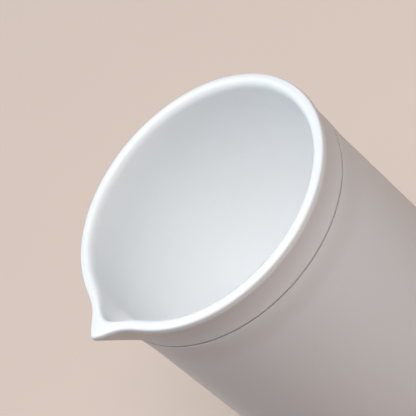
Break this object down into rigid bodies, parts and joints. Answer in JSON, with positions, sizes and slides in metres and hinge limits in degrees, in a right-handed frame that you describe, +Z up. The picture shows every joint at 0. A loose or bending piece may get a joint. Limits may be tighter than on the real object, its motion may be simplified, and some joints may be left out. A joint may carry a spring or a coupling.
{
  "type": "laboratory beaker",
  "caption": "White double-walled pouring beaker of low form: a vessel with a rolled lip, a collar and a pointed spout lifts out of an outer shell with a soft foot.",
  "frame": {"origin": "on the beaker's axis, on the flat underside of the foot disc that it stands on", "axes": "+Z up along the axis, out of the mouth; +X from the axis towards the spout, the way it pours"},
  "size_m": [0.1012, 0.093, 0.125],
  "materials": {
    "white_moulding": "satin",
    "silicone": "matte"
  },
  "bodies": {
    "shell": {"outer_shell": "white_moulding", "support_dish": "silicone", "foot_disc": "silicone"},
    "ring": {"grip_ring": "silicone"},
    "vessel": {"pouring_vessel": "white_moulding"}
  },
  "joints": [
    {"name": "lift", "type": "slide", "parent": "shell", "child": "ring", "axis": [0, 0, 1], "range_m": [0, 0.11]},
    {"name": "turn", "type": "hinge", "parent": "ring", "child": "vessel", "pos_m": [0, 0, 0.1], "axis": [0, 0, 1], "continuous": true}
  ]
}
